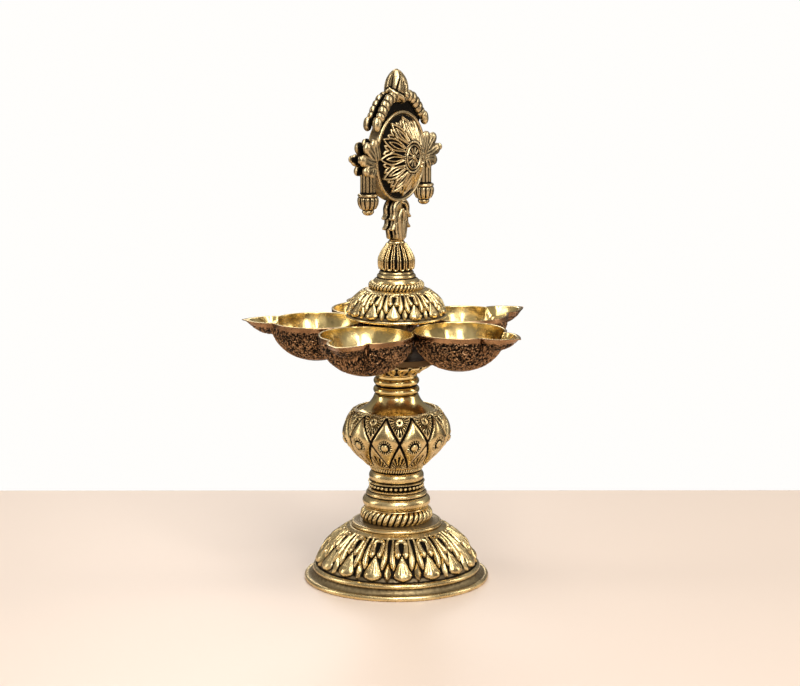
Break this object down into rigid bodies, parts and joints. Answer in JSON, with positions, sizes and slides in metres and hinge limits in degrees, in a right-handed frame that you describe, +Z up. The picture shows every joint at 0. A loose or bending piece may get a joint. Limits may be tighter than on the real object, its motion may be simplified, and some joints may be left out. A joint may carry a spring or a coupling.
{
  "type": "standing oil lamp",
  "caption": "Standing brass oil lamp with a domed foot, bulbed stem, ring of spouted wick bowls, domed cap and wheel finial; its sections unscrew.",
  "frame": {"origin": "on the lamp's axis, on the surface that the foot stands on", "axes": "+Z up the lamp, -Y the way the wheel finial's front faces, +X to the right of that front"},
  "size_m": [0.1739, 0.1715, 0.305],
  "materials": {
    "antique_brass": "cast relief, dark patina in the recesses, rubbed bright on the high points",
    "polished_brass": "turned and polished",
    "stippled_brass": "stippled and dark outside, polished inside",
    "thread_brass": "plain turned, dull"
  },
  "bodies": {
    "foot": {"foot": "antique_brass", "foot_collar": "polished_brass", "foot_nut": "thread_brass"},
    "stem_screw": {"stem_stud": "thread_brass"},
    "stem": {"rope_ring": "antique_brass", "stem_base": "antique_brass", "bulb": "antique_brass", "neck": "polished_brass", "tie_rod": "thread_brass"},
    "bowl_ring": {"hub_rosette": "antique_brass", "hub_plate": "antique_brass", "wick_bowl_1": "stippled_brass", "wick_bowl_2": "stippled_brass", "wick_bowl_3": "stippled_brass", "wick_bowl_4": "stippled_brass", "wick_bowl_5": "stippled_brass"},
    "cap_screw": {"cap_tube": "thread_brass"},
    "cap": {"cap_dome": "antique_brass", "cap_rope_ring": "antique_brass", "cap_bud": "antique_brass"},
    "finial_screw": {"finial_stud": "thread_brass"},
    "finial": {"finial_stalk": "antique_brass", "wheel_drum": "antique_brass", "finial_front": "antique_brass", "finial_back": "antique_brass", "lotus_front": "antique_brass", "lotus_back": "antique_brass", "pendant_left": "antique_brass", "pendant_right": "antique_brass", "crest_bud": "antique_brass"}
  },
  "joints": [
    {"name": "stem_rise", "type": "slide", "parent": "foot", "child": "stem_screw", "axis": [0, 0, 1], "range_m": [0, 0.0075]},
    {"name": "stem_turn", "type": "hinge", "parent": "stem_screw", "child": "stem", "pos_m": [0, 0, 0.0356], "axis": [0, 0, 1], "range_deg": [0, 1800]},
    {"name": "bowls_turn", "type": "hinge", "parent": "stem", "child": "bowl_ring", "pos_m": [0, 0, 0.1243], "axis": [0, 0, 1], "continuous": true},
    {"name": "cap_rise", "type": "slide", "parent": "stem", "child": "cap_screw", "axis": [0, 0, 1], "range_m": [0, 0.009]},
    {"name": "cap_turn", "type": "hinge", "parent": "cap_screw", "child": "cap", "pos_m": [0, 0, 0.1586], "axis": [0, 0, 1], "range_deg": [0, 2160]},
    {"name": "finial_rise", "type": "slide", "parent": "cap", "child": "finial_screw", "axis": [0, 0, 1], "range_m": [0, 0.006]},
    {"name": "finial_turn", "type": "hinge", "parent": "finial_screw", "child": "finial", "pos_m": [0, 0, 0.2045], "axis": [0, 0, 1], "range_deg": [0, 2160]}
  ],
  "couplings": [
    {"joint": "stem_turn", "follows": "stem_rise", "rad_per_m": 4188.8},
    {"joint": "cap_turn", "follows": "cap_rise", "rad_per_m": 4188.8},
    {"joint": "finial_turn", "follows": "finial_rise", "rad_per_m": 6283.2}
  ]
}
